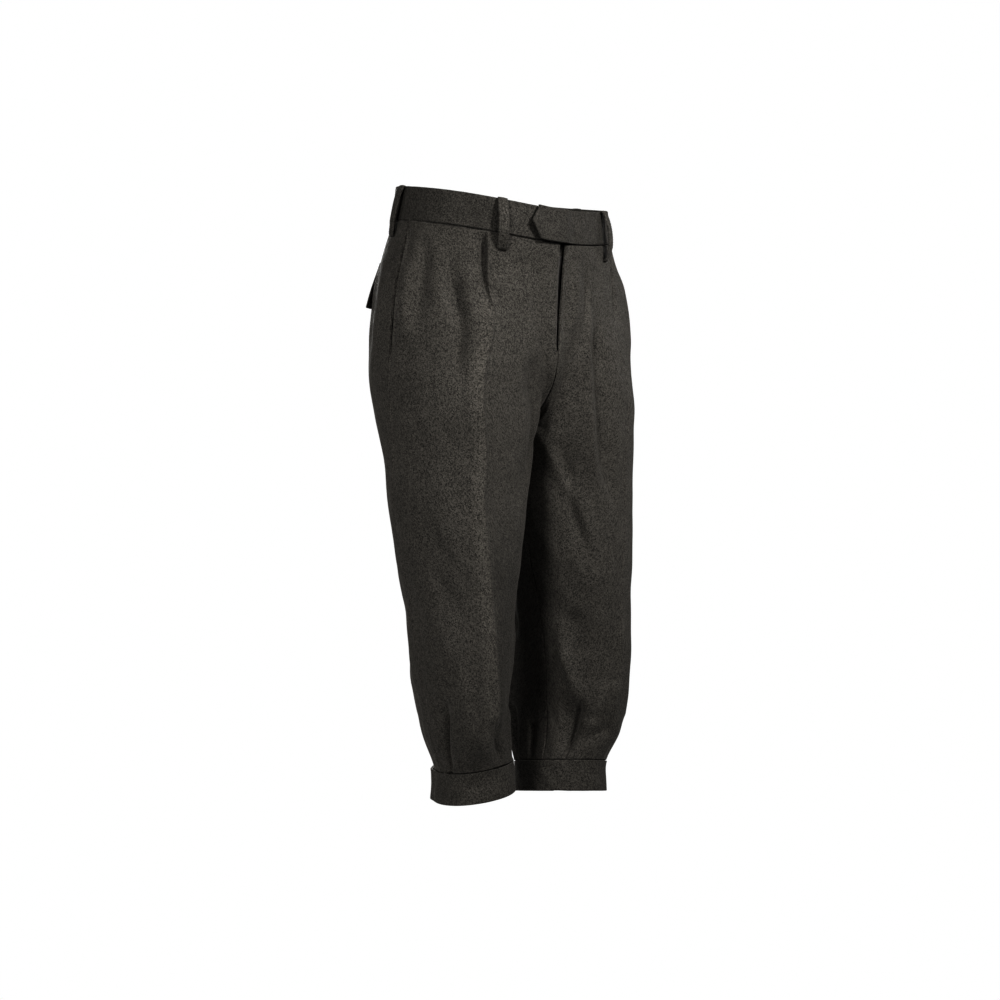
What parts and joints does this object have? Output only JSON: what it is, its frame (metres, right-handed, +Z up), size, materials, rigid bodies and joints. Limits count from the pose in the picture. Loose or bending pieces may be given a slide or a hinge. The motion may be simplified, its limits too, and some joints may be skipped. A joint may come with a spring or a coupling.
{
  "type": "knee breeches",
  "caption": "Wool knee breeches with a belt-looped waistband, open zip fly, slanted side pockets, pleated fronts and banded knees, filled out as worn.",
  "frame": {"origin": "middle of the waistband, half way up it at the sides, where a wearer holds it up", "axes": "+Z up, the front faces -Y, the wearer's right is at -X"},
  "size_m": [0.3508, 0.2385, 0.7442],
  "materials": {
    "wool": "matte heathered wool, near black-brown",
    "inner_cloth": "the same wool in shade, unfaded",
    "zip": "dark woven tape with a dull coil chain"
  },
  "bodies": {
    "root": {"back_left": "wool", "back_pocket_flap_left": "wool", "back_pocket_flap_right": "wool", "back_right": "wool", "belt_loop_back": "wool", "belt_loop_front_left": "wool", "belt_loop_front_right": "wool", "belt_loop_side_left": "wool", "belt_loop_side_right": "wool", "fly_underlap": "inner_cloth", "fly_zip": "zip", "front_left": "wool", "front_right": "wool", "knee_band_left": "wool", "knee_band_right": "wool", "pocket_facing_left": "inner_cloth", "pocket_facing_right": "inner_cloth", "waistband_left": "wool", "waistband_right": "wool"}
  },
  "joints": []
}
